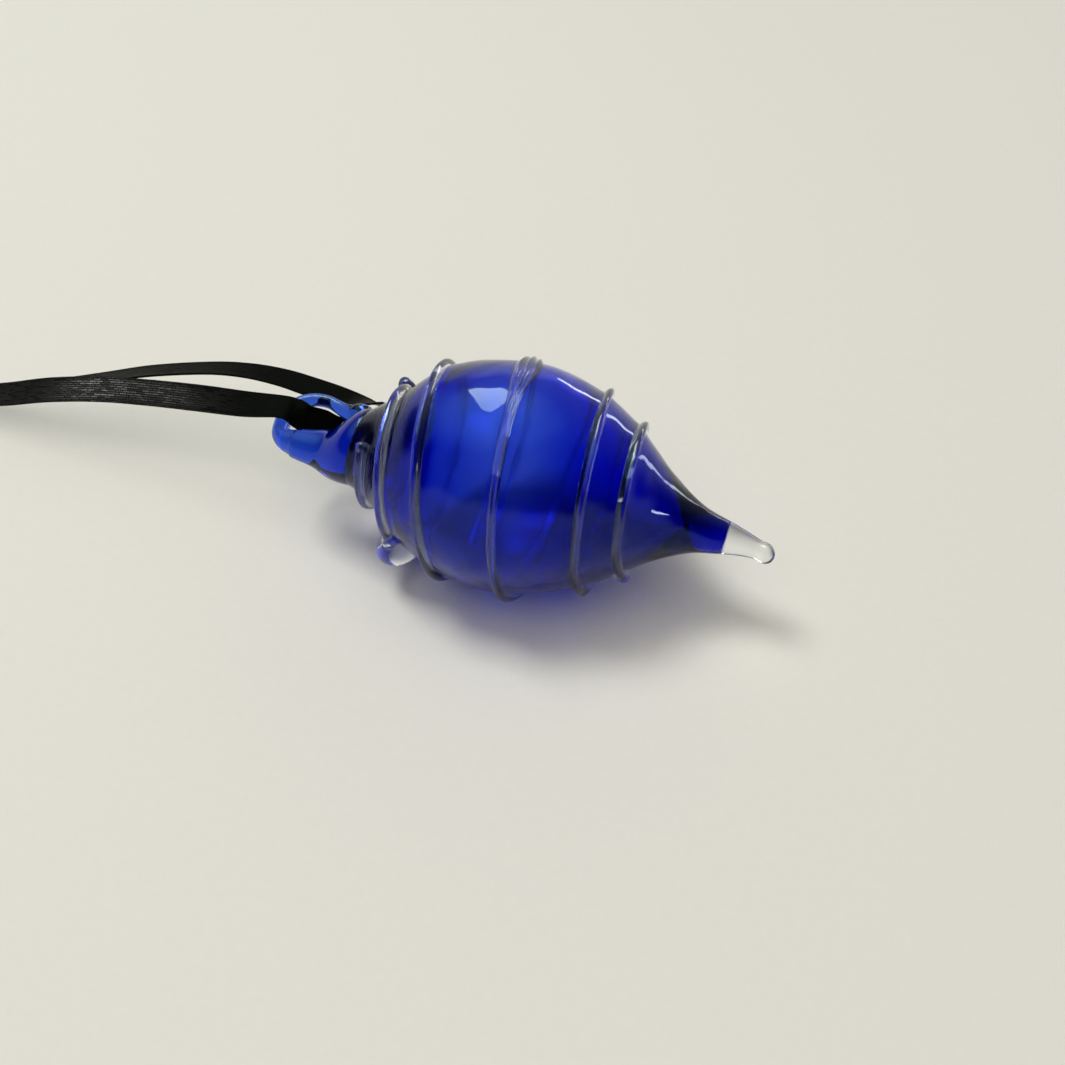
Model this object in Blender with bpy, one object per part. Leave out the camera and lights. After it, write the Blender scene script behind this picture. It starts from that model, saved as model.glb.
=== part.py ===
"""Blown glass ornament lying on its side: a cobalt teardrop with a clear tip, a clear glass thread
wound round it, a hooked hanging loop and a satin ribbon through the loop's eye.

The glass is drawn in the ornament's own frame: its axis is X, the end of the clear tip is at zero
and the loop is towards -X. The empty "ornament_axis" lays that frame down on the table at Z = 0.
The ribbon's pieces hang on the empty "ribbon_pivot", on the axis that the ribbon swings about.
"""

import math

import bmesh
import bpy
from mathutils import Matrix, Vector

MM = 0.001

# Gap between pieces that are fused or lie on each other
CLEARANCE = 0.3 * MM

# Teardrop, with stations measured along its axis from the end of the clear tip
TIP_LENGTH = 6.0 * MM
SEAM_RADIUS = 2.03 * MM
WIDEST_STATION = 33.0 * MM
BULB_RADIUS = 14.0 * MM
NECK_STATION = 51.0 * MM
NECK_RADIUS = 4.9 * MM
NECK_BEND = 2.0 * MM
NECK_BEND_STATION = 40.0 * MM
WALL = 1.2 * MM
SOLID_POINT_LENGTH = 4.5 * MM
BULB_SKEW = 0.046
SKEW_ANGLE = math.radians(40)
# Shares of the way from seam to widest and of the growth in radius, then from widest to neck
POINT_SHOULDERS = ((0.13, 0.08), (0.30, 0.31), (0.46, 0.595), (0.63, 0.815), (0.85, 0.975))
NECK_SHOULDERS = ((0.33, 0.895), (0.61, 0.64), (0.83, 0.22))
BULB_SIDES = 40
OUTER_RINGS = 28
INNER_RINGS = 22

# Clear tip, with a rounded nub at its end and a waist behind the nub
NUB_RADIUS = 1.25 * MM
TIP_WAIST_RADIUS = 1.2 * MM
TIP_WAIST_STATION = 2.2 * MM
TIP_BEND = 0.9 * MM
NUB_STEPS = 5
TIP_SIDES = 24
TIP_RINGS = 8

# Thread: the stations where each turn comes over the top and where it goes under, and its ends
THREAD_DIAMETER = 1.1 * MM
THREAD_TURNS = (
    (49.6 * MM, 47.9 * MM),
    (47.4 * MM, 43.3 * MM),
    (43.2 * MM, 37.0 * MM),
    (33.5 * MM, 28.3 * MM),
    (23.8 * MM, 20.3 * MM),
    (19.1 * MM, 16.1 * MM),
)
OVER_ANGLE = math.radians(70)
UNDER_ANGLE = math.radians(215)
THREAD_START_ANGLE = math.radians(128)
THREAD_END_ANGLE = math.radians(219)
THREAD_POINTS_PER_TURN = 28
THREAD_SIDES = 6

# Feet: the two turns that meet the table, by number, and how deep the table's face cuts them
FOOT_ANGLE = math.radians(270)
NECK_SIDE_FOOT_TURN = 2
TIP_SIDE_FOOT_TURN = 3
FOOT_FLAT_DEPTH = 0.5 * MM

# Drop: a swelling of the thread on the near side of one turn
DROP_TURN = 1
DROP_ANGLE = math.radians(222)
DROP_RADIUS = 2.1 * MM
DROP_SPREAD = math.radians(20)
DROP_STEPS = 3

# Hanging loop: a gather of glass that closes the neck, and a tapered rod bent round the eye
GATHER_LENGTH = 6.0 * MM
GATHER_END_RADIUS = 1.65 * MM
GATHER_SIDES = 28
GATHER_RINGS = 8
LOOP_DROP = 1.0 * MM
LOOP_REACH = 11.6 * MM
LOOP_NEAR_SIDE = 3.4 * MM
LOOP_FAR_SIDE = 4.55 * MM
LOOP_CROWN_RADIUS = 1.05 * MM
# Shares of the reach from the neck and of the near or far side, and the rod's radius there
LOOP_NEAR_ROD = (
    (0.44, 0.88, 1.95 * MM),
    (0.60, 1.00, 1.85 * MM),
    (0.74, 1.01, 1.62 * MM),
    (0.85, 0.95, 1.34 * MM),
    (0.935, 0.72, 1.13 * MM),
    (0.985, 0.24, LOOP_CROWN_RADIUS),
)
LOOP_FAR_ROD = (
    (1.0, 0.12, LOOP_CROWN_RADIUS),
    (0.975, 0.46, 0.98 * MM),
    (0.905, 0.78, 0.90 * MM),
    (0.79, 0.97, 0.85 * MM),
    (0.655, 1.01, 0.82 * MM),
    (0.53, 0.93, 0.85 * MM),
    (0.43, 0.85, 0.98 * MM),
    (0.33, 0.82, 1.18 * MM),
    (0.23, 0.77, 1.10 * MM),
    (0.16, 0.70, 0.75 * MM),
)
LOOP_SIDES = 12
LOOP_STEPS = 3

# Ribbon, and the overhand knot and two tails that end it
RIBBON_WIDTH = 3.5 * MM
RIBBON_THICKNESS = 0.3 * MM
RIBBON_STEPS = 3
PIVOT_SHIFT = 0.4 * MM
KNOT_REACH = 61.0 * MM
KNOT_LENGTH = 7.0 * MM
KNOT_WIDTH = 6.4 * MM
KNOT_HEIGHT = 4.4 * MM
KNOT_END_SHARE = 0.5
KNOT_SIDES = 16
KNOT_RINGS = 9

# Route from the knot to the eye and back, as reach from the loop's crown, side, height over the
# table and the turn of the flat face out of level, in millimetres and degrees
FRONT_STRAND = (
    (-57.1, 0.0, 2.9, 0),
    (-51.0, 0.0, 4.3, 14),
    (-45.0, 0.0, 6.1, 28),
    (-36.4, 0.0, 9.4, 34),
    (-27.7, 0.0, 12.0, 33),
    (-19.6, -0.1, 13.8, 34),
    (-11.8, -0.4, 15.4, 34),
    (-4.9, -0.5, 16.5, 22),
    (0.0, -0.1, 17.15, 7),
    (1.6, 0.1, 16.7, 18),
    (3.1, 0.2, 15.7, 46),
    (4.7, 1.7, 14.0, 40),
    (6.1, 3.2, 11.6, 50),
    (8.4, 4.6, 11.6, 66),
    (10.2, 6.1, 12.1, 88),
)
BACK_STRAND = (
    (10.6, 6.8, 12.6, 88),
    (10.3, 7.4, 13.2, 72),
    (8.6, 7.4, 13.5, 40),
    (4.6, 7.1, 13.8, 8),
    (0.5, 7.1, 14.2, 2),
    (-4.0, 7.2, 14.6, 6),
    (-9.0, 7.1, 14.5, 11),
    (-14.6, 6.6, 13.8, 14),
    (-23.2, 5.3, 12.0, 15),
    (-30.7, 3.8, 9.9, 15),
    (-38.6, 2.6, 7.4, 14),
    (-46.5, 1.7, 4.6, 10),
    (-52.0, 1.1, 2.7, 5),
    (-57.0, 0.6, 1.5, 0),
)
LONG_TAIL = (
    (-64.9, 0.9, 1.3, 0),
    (-68.0, 1.9, 0.5, 0),
    (-72.0, 3.0, 0.2, 0),
    (-77.5, 4.2, 0.2, 0),
)
SHORT_TAIL = (
    (-65.1, -0.9, 2.6, 0),
    (-68.0, -2.0, 1.8, 0),
    (-71.5, -3.0, 0.6, 0),
    (-74.5, -3.7, 0.2, 0),
)

GLASS_ROUGHNESS = 0.05
GLASS_TRANSMISSION = 0.8
SATIN_ROUGHNESS = 0.45
SHARP_ANGLE = math.radians(40)
COBALT = (0.01, 0.02, 0.32, 1.0)
CLEAR = (0.88, 0.90, 0.92, 1.0)
BLACK = (0.008, 0.008, 0.006, 1.0)


def smooth_value(knots, place):
    """The value at a place on the smooth curve through (place, value) knots."""
    last = len(knots) - 1
    span = 0
    while span < last - 1 and place > knots[span + 1][0]:
        span += 1

    def slope(index):
        before = knots[max(index - 1, 0)]
        after = knots[min(index + 1, last)]
        return (after[1] - before[1]) / (after[0] - before[0])

    start, end = knots[span], knots[span + 1]
    width = end[0] - start[0]
    t = (place - start[0]) / width
    rise = (1 + 2 * t) * (1 - t) ** 2 * start[1] + t * t * (3 - 2 * t) * end[1]
    bend = t * (1 - t) ** 2 * slope(span) - t * t * (1 - t) * slope(span + 1)
    return rise + width * bend


def smooth_route(points, steps):
    """Points along the smooth curve through the given points, with that many steps to each span."""
    points = [Vector(p) for p in points]
    route = []
    for i in range(len(points) - 1):
        before, start = points[max(i - 1, 0)], points[i]
        end, after = points[i + 1], points[min(i + 2, len(points) - 1)]
        for k in range(steps):
            t = k / steps
            pull_in = (end - before) * (0.5 * t * (1 - t) ** 2)
            pull_out = (after - start) * (0.5 * t * t * (1 - t))
            rise = start * ((1 + 2 * t) * (1 - t) ** 2) + end * (t * t * (3 - 2 * t))
            route.append(rise + pull_in - pull_out)
    return route + [points[-1]]


def turns(sides):
    """The angles of that many points round a ring."""
    return [2 * math.pi * k / sides for k in range(sides)]


def loft(name, rings, material, parent):
    """One closed object through rings of points, capped at both ends; a ring of one point is a pole."""
    bm = bmesh.new()
    rows = [[bm.verts.new(p) for p in ring] for ring in rings]
    for row, following in zip(rows, rows[1:]):
        count = max(len(row), len(following))
        for i in range(count):
            j = (i + 1) % count
            if len(row) == 1:
                bm.faces.new((row[0], following[j], following[i]))
            elif len(following) == 1:
                bm.faces.new((row[i], row[j], following[0]))
            else:
                bm.faces.new((row[i], row[j], following[j], following[i]))
    for row in (rows[0], rows[-1]):
        if len(row) > 1:
            bm.faces.new(row)
    bmesh.ops.recalc_face_normals(bm, faces=bm.faces)
    mesh = bpy.data.meshes.new(name)
    bm.to_mesh(mesh)
    bm.free()
    mesh.materials.append(material)
    mesh.shade_smooth()
    mesh.set_sharp_from_angle(angle=SHARP_ANGLE)
    made = bpy.data.objects.new(name, mesh)
    made.parent = parent
    bpy.context.scene.collection.objects.link(made)
    return made


def tube_rings(route, radii, sides):
    """Rings of points square to a route, each turned as little as possible from the one before."""
    rings = []
    normal = None
    for i, place in enumerate(route):
        along = (route[min(i + 1, len(route) - 1)] - route[max(i - 1, 0)]).normalized()
        start = normal if normal else along.orthogonal()
        normal = (start - along * start.dot(along)).normalized()
        side = along.cross(normal)
        rays = [normal * math.cos(a) + side * math.sin(a) for a in turns(sides)]
        rings.append([place + ray * radii[i] for ray in rays])
    return rings


def principled(name, colour, roughness, transmission=0.0):
    """A Principled material of one colour."""
    made = bpy.data.materials.new(name)
    made.use_nodes = True
    shader = made.node_tree.nodes["Principled BSDF"]
    shader.inputs["Base Color"].default_value = colour
    shader.inputs["Roughness"].default_value = roughness
    shader.inputs["Metallic"].default_value = 0.0
    shader.inputs["Transmission Weight"].default_value = transmission
    return made


def empty(name, place):
    """A named empty that carries pieces."""
    made = bpy.data.objects.new(name, None)
    made.matrix_world = place
    bpy.context.scene.collection.objects.link(made)
    return made


def outline_knots():
    """The teardrop's outline as (station, radius) knots from the seam to the neck."""
    knots = [(TIP_LENGTH, SEAM_RADIUS)]
    for along, growth in POINT_SHOULDERS:
        station = TIP_LENGTH + along * (WIDEST_STATION - TIP_LENGTH)
        knots.append((station, SEAM_RADIUS + growth * (BULB_RADIUS - SEAM_RADIUS)))
    knots.append((WIDEST_STATION, BULB_RADIUS))
    for along, growth in NECK_SHOULDERS:
        station = WIDEST_STATION + along * (NECK_STATION - WIDEST_STATION)
        knots.append((station, NECK_RADIUS + growth * (BULB_RADIUS - NECK_RADIUS)))
    knots.append((NECK_STATION, NECK_RADIUS))
    return knots


OUTLINE = outline_knots()


def sideways(station):
    """How far the drawn neck and the clear tip bend to the side of the axis."""
    neck = max(station - NECK_BEND_STATION, 0.0) / (NECK_STATION - NECK_BEND_STATION)
    tip = max(TIP_LENGTH - station, 0.0) / TIP_LENGTH
    return -NECK_BEND * neck ** 2 - TIP_BEND * tip ** 2


def spoke(angle, radius):
    """From the middle of a slightly skewed section to its edge, at an angle from +Y towards +Z."""
    lean = BULB_SKEW * radius * math.cos(angle - SKEW_ANGLE)
    return Vector((lean, radius * math.cos(angle), radius * math.sin(angle)))


def round_point(station, angle, radius):
    """A point round the axis, at a station along it."""
    return Vector((-station, sideways(station), 0)) + spoke(angle, radius)


def round_ring(station, radius, sides):
    """A ring of points round the axis."""
    return [round_point(station, a, radius) for a in turns(sides)]


def thread_knots():
    """The thread's (angle, station) knots, with the angle counted on through all its turns."""
    knots = []
    for turn, (over, under) in enumerate(THREAD_TURNS):
        knots.append((OVER_ANGLE + 2 * math.pi * turn, over))
        knots.append((UNDER_ANGLE + 2 * math.pi * turn, under))
    return knots


THREAD = thread_knots()


DROP_PLACE = DROP_ANGLE + 2 * math.pi * DROP_TURN


def thread_radius(angle):
    """The thread's own radius at a counted angle, larger at the drop."""
    away = min(abs(angle - DROP_PLACE) / DROP_SPREAD, 1.0)
    swell = math.cos(0.5 * math.pi * away) ** 2
    return 0.5 * THREAD_DIAMETER + swell * (DROP_RADIUS - 0.5 * THREAD_DIAMETER)


def thread_centre(angle):
    """Station and radius of the thread's centre line, square off the outline, at a counted angle."""
    station = smooth_value(THREAD, angle)
    step = 0.5 * THREAD_DIAMETER
    growth = smooth_value(OUTLINE, station + step) - smooth_value(OUTLINE, station - step)
    slope = math.atan2(growth, 2 * step)
    lift = CLEARANCE + thread_radius(angle)
    radius = smooth_value(OUTLINE, station) + lift * math.cos(slope)
    return station - lift * math.sin(slope), radius


def thread_foot(turn):
    """Station and outer radius of the thread where that turn passes under the teardrop."""
    station, radius = thread_centre(FOOT_ANGLE + 2 * math.pi * turn)
    return station, radius + 0.5 * THREAD_DIAMETER


def thread_angles():
    """Counted angles along the thread, with one at the foot of each turn and closer steps over the drop."""
    step = 2 * math.pi / THREAD_POINTS_PER_TURN
    end = THREAD_END_ANGLE + 2 * math.pi * (len(THREAD_TURNS) - 1)
    first = math.ceil((THREAD_START_ANGLE - FOOT_ANGLE) / step)
    last = math.floor((end - FOOT_ANGLE) / step)
    even = [FOOT_ANGLE + step * k for k in range(first, last + 1)]
    clear = [a for a in even if abs(a - DROP_PLACE) > DROP_SPREAD + 0.5 * step]
    swell = [DROP_PLACE + DROP_SPREAD * k / DROP_STEPS for k in range(-DROP_STEPS, DROP_STEPS + 1)]
    return sorted(clear + swell)


def lay_down():
    """The place of the ornament's frame when its two thread feet press on the table."""
    station, radius = thread_foot(NECK_SIDE_FOOT_TURN)
    other_station, other_radius = thread_foot(TIP_SIDE_FOOT_TURN)
    lean = math.atan2(radius - other_radius, station - other_station)
    height = radius * math.cos(lean) - station * math.sin(lean) - FOOT_FLAT_DEPTH
    length = NECK_STATION + LOOP_REACH + LOOP_CROWN_RADIUS
    middle = 0.5 * length * math.cos(lean)
    return Matrix.Translation((middle, 0, height)) @ Matrix.Rotation(lean, 4, "Y")


LAID = lay_down()
CROWN = LAID @ Vector((-NECK_STATION - LOOP_REACH, 0, -LOOP_DROP))


def press_on_table(rings):
    """The rings with every point that would be under the table pressed up to its face."""
    back = LAID.inverted()
    pressed = []
    for ring in rings:
        world = [LAID @ p for p in ring]
        pressed.append([back @ Vector((p.x, p.y, max(p.z, 0.0))) for p in world])
    return pressed


def make_bulb(material, parent):
    """The hollow teardrop, with a solid drawn point and a neck that is open at its end."""
    span = NECK_STATION - TIP_LENGTH
    outer = [TIP_LENGTH + span * i / (OUTER_RINGS - 1) for i in range(OUTER_RINGS)]
    depth = span - SOLID_POINT_LENGTH
    inner = [NECK_STATION - depth * i / (INNER_RINGS - 1) for i in range(INNER_RINGS)]
    rings = [round_ring(s, smooth_value(OUTLINE, s), BULB_SIDES) for s in outer]
    rings += [round_ring(s, smooth_value(OUTLINE, s) - WALL, BULB_SIDES) for s in inner]
    loft("bulb_shell", rings, material, parent)


def make_tip(material, parent):
    """The clear drawn tip, from its rounded nub to just short of the seam."""
    nub_end = (NUB_RADIUS, NUB_RADIUS)
    knots = [nub_end, (TIP_WAIST_STATION, TIP_WAIST_RADIUS), (TIP_LENGTH, SEAM_RADIUS)]
    rings = [[round_point(0.0, 0.0, 0.0)]]
    for i in range(1, NUB_STEPS):
        turn = 0.5 * math.pi * i / NUB_STEPS
        station = NUB_RADIUS * (1 - math.cos(turn))
        rings.append(round_ring(station, NUB_RADIUS * math.sin(turn), TIP_SIDES))
    length = TIP_LENGTH - CLEARANCE - NUB_RADIUS
    for i in range(TIP_RINGS):
        station = NUB_RADIUS + length * i / (TIP_RINGS - 1)
        rings.append(round_ring(station, smooth_value(knots, station), TIP_SIDES))
    loft("clear_tip", rings, material, parent)


def make_thread(material, parent):
    """The clear glass thread, one unbroken tube wound round the teardrop."""
    angles = thread_angles()
    route = []
    for angle in angles:
        station, radius = thread_centre(angle)
        route.append(round_point(station, angle, radius))
    radii = [thread_radius(angle) for angle in angles]
    gaps = []
    for i, angle in enumerate(angles):
        for j in range(i + 1, len(angles)):
            if angles[j] - angle > math.pi:
                gaps.append((route[i] - route[j]).length - radii[i] - radii[j])
    print(f"least gap between turns of the thread: {min(gaps) / MM:.2f} mm")
    loft("spiral_thread", press_on_table(tube_rings(route, radii, THREAD_SIDES)), material, parent)


def gather_rings():
    """Rings from the end of the neck, narrowing to run into the near side of the rod."""
    rings = []
    for i in range(GATHER_RINGS):
        t = i / (GATHER_RINGS - 1)
        share = t * t * (3 - 2 * t)
        station = NECK_STATION + CLEARANCE + t * (GATHER_LENGTH - CLEARANCE)
        radius = NECK_RADIUS + share * (GATHER_END_RADIUS - NECK_RADIUS)
        side = -NECK_BEND + share * (NECK_BEND - LOOP_NEAR_SIDE)
        centre = Vector((-station, side, -share * LOOP_DROP))
        rings.append([centre + spoke(a, radius) for a in turns(GATHER_SIDES)])
    return rings


def make_loop(material, parent):
    """The gather that closes the neck, with the hooked rod that goes round the eye and back to it."""
    knots = []
    for rod, side in ((LOOP_NEAR_ROD, -LOOP_NEAR_SIDE), (LOOP_FAR_ROD, LOOP_FAR_SIDE)):
        for reach, share, radius in rod:
            knots.append((-NECK_STATION - reach * LOOP_REACH, share * side, -LOOP_DROP, radius))
    route = smooth_route(knots, LOOP_STEPS)
    rings = tube_rings([p.to_3d() for p in route], [p.w for p in route], LOOP_SIDES)
    rod = loft("hanging_loop", rings, material, parent)
    gather = loft("neck_gather", gather_rings(), material, parent)
    gather.hide_render = True
    gather.display_type = "WIRE"
    join = rod.modifiers.new("join_gather", "BOOLEAN")
    join.operation = "UNION"
    join.solver = "EXACT"
    join.object = gather


def make_strip(name, points, material, pivot):
    """A flat stretch of ribbon along a route, turned out of level by the degrees at each point."""
    places = []
    for reach, side, height, roll in points:
        places.append((CROWN.x + reach * MM, side * MM, height * MM, math.radians(roll)))
    route = smooth_route(places, RIBBON_STEPS)
    start = pivot.matrix_world.translation
    rings = []
    for i, place in enumerate(route):
        along = (route[min(i + 1, len(route) - 1)] - route[max(i - 1, 0)]).to_3d().normalized()
        across = Vector((0, 0, 1)).cross(along).normalized()
        across.rotate(Matrix.Rotation(place.w, 3, along))
        half = across * (0.5 * RIBBON_WIDTH)
        skin = along.cross(across) * (0.5 * RIBBON_THICKNESS)
        middle = place.to_3d() - start
        lower, upper = middle - skin, middle + skin
        rings.append([lower - half, lower + half, upper + half, upper - half])
    loft(name, rings, material, pivot)


def make_knot(material, pivot):
    """The lump of the overhand knot, flat where it lies on the table."""
    middle = Vector((CROWN.x - KNOT_REACH, 0, 0.5 * KNOT_HEIGHT)) - pivot.matrix_world.translation
    rings = []
    for i in range(KNOT_RINGS):
        t = 1 - 2 * i / (KNOT_RINGS - 1)
        swell = KNOT_END_SHARE + (1 - KNOT_END_SHARE) * math.sqrt(1 - t * t)
        ring = []
        for a in turns(KNOT_SIDES):
            across = 0.5 * KNOT_WIDTH * swell * math.cos(a)
            rise = 0.5 * KNOT_HEIGHT * swell * math.sin(a)
            ring.append(middle + Vector((0.5 * KNOT_LENGTH * t, across, rise)))
        rings.append(ring)
    loft("ribbon_knot", rings, material, pivot)


def make_ribbon(material, pivot):
    """The ribbon from the knot through the eye and back, its knot and its two tails."""
    make_strip("ribbon_front_strand", FRONT_STRAND, material, pivot)
    make_strip("ribbon_back_strand", BACK_STRAND, material, pivot)
    make_knot(material, pivot)
    make_strip("ribbon_long_tail", LONG_TAIL, material, pivot)
    make_strip("ribbon_short_tail", SHORT_TAIL, material, pivot)


def main():
    for old in list(bpy.data.objects):
        bpy.data.objects.remove(old, do_unlink=True)
    cobalt = principled("cobalt_glass", COBALT, GLASS_ROUGHNESS, GLASS_TRANSMISSION)
    clear = principled("clear_glass", CLEAR, GLASS_ROUGHNESS, GLASS_TRANSMISSION)
    black = principled("black_satin", BLACK, SATIN_ROUGHNESS)
    axis = empty("ornament_axis", LAID)
    make_bulb(cobalt, axis)
    make_tip(clear, axis)
    make_thread(clear, axis)
    make_loop(cobalt, axis)
    make_ribbon(black, empty("ribbon_pivot", Matrix.Translation(CROWN + Vector((PIVOT_SHIFT, 0, 0)))))


main()
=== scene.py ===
"""Looks of the blown glass ornament: clear and cobalt glass, and a black satin ribbon.

Glass is drawn in millimetres in the ornament's own frame, with its axis on X, the end of the clear tip
at zero and the loop towards -X, and LAID puts it on the table. The ribbon is drawn in the row frame.
"""
import math

import bpy
import numpy as np
from mathutils import Matrix, Vector


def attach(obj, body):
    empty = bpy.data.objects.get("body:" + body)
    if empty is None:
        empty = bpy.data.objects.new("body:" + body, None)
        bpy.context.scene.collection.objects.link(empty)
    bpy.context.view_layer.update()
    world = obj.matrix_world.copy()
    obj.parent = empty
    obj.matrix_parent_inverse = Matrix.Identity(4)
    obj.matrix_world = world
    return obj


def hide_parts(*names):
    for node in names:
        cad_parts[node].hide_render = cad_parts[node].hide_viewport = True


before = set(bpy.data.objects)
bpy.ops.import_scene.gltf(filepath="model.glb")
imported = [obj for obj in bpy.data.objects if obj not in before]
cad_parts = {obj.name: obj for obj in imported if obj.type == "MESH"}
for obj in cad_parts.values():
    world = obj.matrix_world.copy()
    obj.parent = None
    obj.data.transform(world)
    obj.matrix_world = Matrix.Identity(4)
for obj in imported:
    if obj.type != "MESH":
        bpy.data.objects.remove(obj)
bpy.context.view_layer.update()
MM = 0.001
TAU = 2 * math.pi
FAR_AWAY = 1e3

# Camera: where it stands, which way it looks and its focal length on a square picture
IMAGE_SIDE = 1065
CAMERA_PLACE = Vector((0.03008, -0.08512, 0.11175))
CAMERA_AZIMUTH = math.radians(18.228)
CAMERA_ELEVATION = math.radians(50.0)
FOCAL_PIXELS = 1100
SENSOR_MM = 36.0
NEAREST_SEEN = 0.005

# The ornament's frame on the table
LEAN = math.radians(3.30047)
TIP_PLACE = Vector((0.03177221, 0.0, 0.01250517))
LAID = Matrix.Translation(TIP_PLACE) @ Matrix.Rotation(LEAN, 4, "Y")
CROWN_X = -0.03078152

# Teardrop outline as (station from the tip's end, radius), in millimetres
OUTLINE = (
    (6.0, 2.03), (9.51, 2.988), (14.1, 5.741), (18.42, 9.152), (23.01, 11.786), (28.95, 13.701),
    (33.0, 14.0), (38.94, 13.045), (43.98, 10.724), (47.94, 6.902), (51.0, 4.9),
)
# Where the teardrop meets the tip and the loop, how it bends and skews, and its wall and hollow
SEAM = 6.0
NECK = 51.0
NECK_BEND = 2.0
NECK_BEND_STATION = 40.0
TIP_BEND = 0.9
SKEW = 0.046
SKEW_ANGLE = math.radians(40)
THIN_WALL = 0.6
WALL_GROWTH = 2.2
WALL_GROWTH_RUN = 18.0
THIN_STATION = 34.0
HOLLOW_END = 10.4
HOLLOW_TOP = 47.2
HOLLOW_END_ROUNDING = 3.0
HOLLOW_TOP_ROUNDING = 2.5
FUSE = 0.2

# Clear tip outline
TIP_OUTLINE = ((1.25, 1.25), (2.2, 1.2), (6.0, 2.03))
NUB = 1.25

# Thread: stations over the top and going under for each turn
THREAD_TURNS = ((49.6, 47.9), (47.4, 43.3), (43.2, 37.0), (33.5, 28.3), (23.8, 20.3), (19.1, 16.1))
OVER_ANGLE = math.radians(70)
UNDER_ANGLE = math.radians(215)
THREAD_START = math.radians(128)
THREAD_END = math.radians(219) + TAU * (len(THREAD_TURNS) - 1)
THREAD_HALF_WIDTH = 0.58
THREAD_HEIGHT = 1.05

# Hanging loop, with its rod as (share of the reach, share of the side, radius)
LOOP_DROP = 1.0
LOOP_REACH = 11.6
LOOP_NEAR_SIDE = 3.4
LOOP_FAR_SIDE = 4.55
LOOP_NEAR_ROD = (
    (0.44, 0.88, 2.15), (0.60, 1.00, 1.95), (0.74, 1.01, 1.62), (0.85, 0.95, 1.34),
    (0.935, 0.72, 1.13), (0.985, 0.24, 1.05),
)
LOOP_FAR_ROD = (
    (1.0, 0.12, 1.05), (0.975, 0.46, 0.98), (0.905, 0.78, 0.90), (0.79, 0.97, 0.85),
    (0.655, 1.01, 0.82), (0.53, 0.93, 0.85), (0.43, 0.85, 0.98), (0.33, 0.82, 1.18),
    (0.23, 0.77, 1.10), (0.16, 0.70, 0.75),
)
# The gather from the neck to the rod, and the curl where the rod's end is stuck down
NECK_RADIUS = 4.9
GATHER_LENGTH = 8.0
GATHER_END_RADIUS = 1.5
GATHER_SAG = 0.5
GATHER_SAG_SIDE = 0.5
GATHER_SLIM = 0.3
GATHER_STEEPNESS = 0.82
GATHER_BLEND = 0.9
CURL_BEAD = np.array((-53.4, 3.3, 0.25))
CURL_BEAD_SIZE = np.array((1.6, 1.15, 1.0))
CURL_BLEND = 0.35
LOOP_STEPS = 5

# Ribbon: the route as reach from the loop's crown, side, height over the table and roll in degrees
RIBBON_WIDTH = 3.5
RIBBON_THICKNESS = 0.3
FRONT_STRAND = (
    (-57.1, 0.0, 2.9, 0), (-51.0, 0.0, 4.3, 14), (-45.0, 0.0, 6.1, 28), (-36.4, 0.0, 9.4, 34),
    (-27.7, 0.0, 12.0, 33), (-19.6, -0.1, 13.8, 34), (-11.8, -0.4, 15.4, 34), (-4.9, -0.5, 16.5, 22),
    (0.0, -0.1, 17.15, 7), (1.6, 0.1, 16.7, 18), (3.1, 0.2, 15.7, 46), (4.7, 1.7, 14.0, 40),
    (6.1, 3.2, 11.6, 50), (8.4, 4.6, 11.6, 66), (10.2, 6.1, 12.1, 88),
)
BACK_STRAND = (
    (10.6, 6.8, 12.6, 88), (10.3, 7.4, 13.2, 72), (8.6, 7.4, 13.5, 40), (4.6, 7.1, 13.8, 8),
    (0.5, 7.1, 14.2, 2), (-4.0, 7.2, 14.6, 6), (-9.0, 7.1, 14.5, 11), (-14.6, 6.6, 13.8, 14),
    (-23.2, 5.3, 12.0, 15), (-30.7, 3.8, 9.9, 15), (-38.6, 2.6, 7.4, 14), (-46.5, 1.7, 4.6, 10),
    (-52.0, 1.1, 2.7, 5), (-57.0, 0.6, 1.5, 0),
)
LONG_TAIL = ((-64.9, 0.9, 1.3, 0), (-68.0, 1.9, 0.5, 0), (-72.0, 3.0, 0.2, 0), (-77.5, 4.2, 0.2, 0))
SHORT_TAIL = ((-65.1, -0.9, 2.6, 0), (-68.0, -2.0, 1.8, 0), (-71.5, -3.0, 0.6, 0), (-74.5, -3.7, 0.2, 0))


def smooth_value(knots, place):
    """The value at a place on the smooth curve through (place, value) knots."""
    last = len(knots) - 1
    span = 0
    while span < last - 1 and place > knots[span + 1][0]:
        span += 1

    def slope(index):
        before = knots[max(index - 1, 0)]
        after = knots[min(index + 1, last)]
        return (after[1] - before[1]) / (after[0] - before[0])

    start, end = knots[span], knots[span + 1]
    width = end[0] - start[0]
    t = (place - start[0]) / width
    rise = (1 + 2 * t) * (1 - t) ** 2 * start[1] + t * t * (3 - 2 * t) * end[1]
    bend = t * (1 - t) ** 2 * slope(span) - t * t * (1 - t) * slope(span + 1)
    return rise + width * bend


def smooth_route(points, steps):
    """Points along the smooth curve through the given points, with that many steps to each span."""
    points = np.array(points, float)
    route = []
    for i in range(len(points) - 1):
        before, start = points[max(i - 1, 0)], points[i]
        end, after = points[i + 1], points[min(i + 2, len(points) - 1)]
        for k in range(steps):
            t = k / steps
            pull_in = (end - before) * (0.5 * t * (1 - t) ** 2)
            pull_out = (after - start) * (0.5 * t * t * (1 - t))
            rise = start * ((1 + 2 * t) * (1 - t) ** 2) + end * (t * t * (3 - 2 * t))
            route.append(rise + pull_in - pull_out)
    return np.array(route + [points[-1]])


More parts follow.
